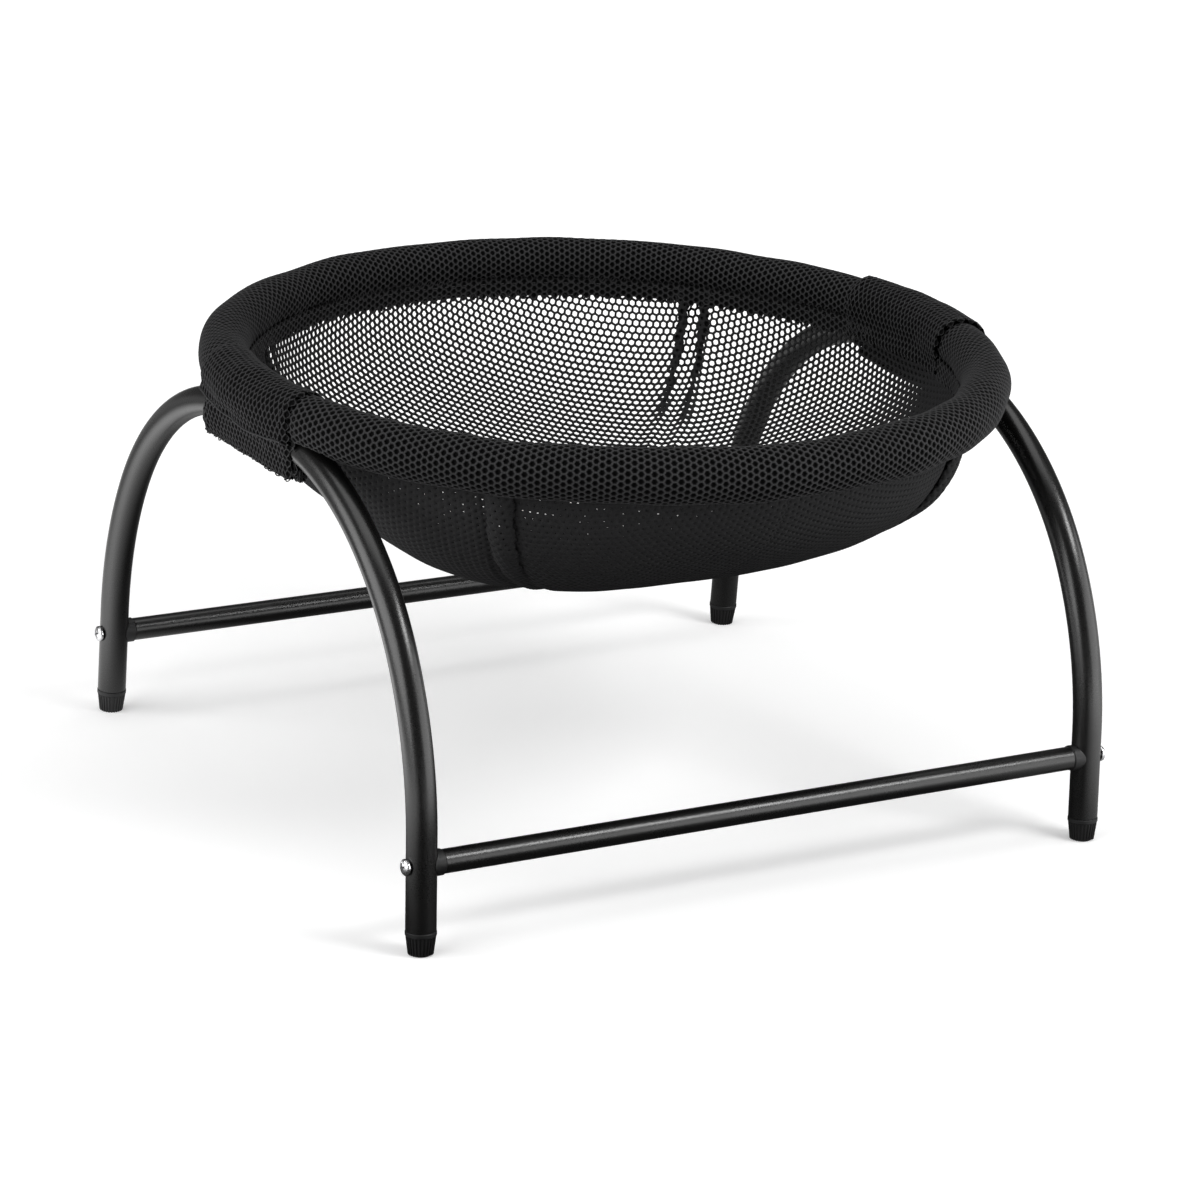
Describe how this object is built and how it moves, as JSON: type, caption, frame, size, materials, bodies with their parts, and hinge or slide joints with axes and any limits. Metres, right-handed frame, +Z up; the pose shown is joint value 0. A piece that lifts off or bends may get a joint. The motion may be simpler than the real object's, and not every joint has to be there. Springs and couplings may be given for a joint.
{
  "type": "elevated pet bed",
  "caption": "Raised round pet bed: a see-through net bowl hung from a padded hoop, held by fabric sleeves on bent tube arches joined by crossbars, on fluted foot caps.",
  "frame": {"origin": "on the floor under the middle of the bed, at the centre of the part's box", "axes": "+X along the crossbars to the right seen from the front, +Y to the rear, +Z up"},
  "size_m": [0.444, 0.4402, 0.2549],
  "materials": {
    "powder_coat": "satin black powder coat on steel tube",
    "moulded_plastic": "matt black moulded plastic",
    "zinc_steel": "bright zinc plated steel",
    "foam": "grey closed-cell foam",
    "spacer_mesh": "charcoal three-layer spacer mesh with six-sided pits",
    "net": "black knitted net, see-through",
    "hook_and_loop": "black woven hook and loop tape"
  },
  "bodies": {
    "root": {"left_arch": "powder_coat", "right_arch": "powder_coat", "front_crossbar": "powder_coat", "rear_crossbar": "powder_coat", "saddle_front_left": "moulded_plastic", "saddle_front_right": "moulded_plastic", "saddle_rear_left": "moulded_plastic", "saddle_rear_right": "moulded_plastic", "bar_insert_front_left": "zinc_steel", "bar_insert_front_right": "zinc_steel", "bar_insert_rear_left": "zinc_steel", "bar_insert_rear_right": "zinc_steel", "screw_front_left": "zinc_steel", "screw_front_right": "zinc_steel", "screw_rear_left": "zinc_steel", "screw_rear_right": "zinc_steel", "foot_front_left": "moulded_plastic", "foot_front_right": "moulded_plastic", "foot_rear_left": "moulded_plastic", "foot_rear_right": "moulded_plastic", "hoop_left_half": "powder_coat", "hoop_right_half": "powder_coat", "hoop_joiner_front": "zinc_steel", "hoop_joiner_rear": "zinc_steel", "rim_foam_left": "foam", "rim_foam_right": "foam", "rim_cover": "spacer_mesh", "net_bowl": "net", "left_sleeve": "spacer_mesh", "right_sleeve": "spacer_mesh", "left_sleeve_flap": "spacer_mesh", "right_sleeve_flap": "spacer_mesh", "left_loop_tape": "hook_and_loop", "right_loop_tape": "hook_and_loop", "left_hook_tape": "hook_and_loop", "right_hook_tape": "hook_and_loop"}
  },
  "joints": []
}
